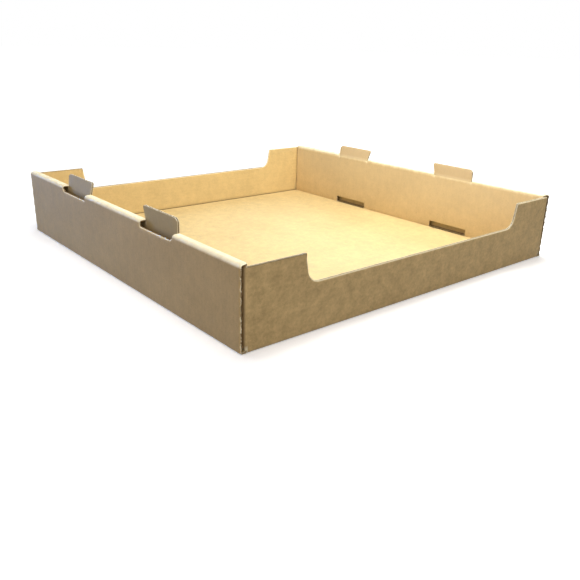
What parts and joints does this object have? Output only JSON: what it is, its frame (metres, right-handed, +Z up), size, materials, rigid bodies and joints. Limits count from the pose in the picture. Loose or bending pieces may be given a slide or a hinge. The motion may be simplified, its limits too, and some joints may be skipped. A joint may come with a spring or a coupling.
{
  "type": "cardboard tray box",
  "caption": "Shallow open tray folded from corrugated board, with double side walls, low front and back cut-outs, stacking tabs and base slots.",
  "frame": {"origin": "middle of the underside of the base, where the tray stands", "axes": "+Z up, +Y from the front cut-out to the back cut-out, +X across to the right double wall"},
  "size_m": [0.555, 0.56, 0.111],
  "materials": {
    "kraft_board": "plain brown kraft liner, matte"
  },
  "bodies": {
    "root": {"tray": "kraft_board"}
  },
  "joints": []
}
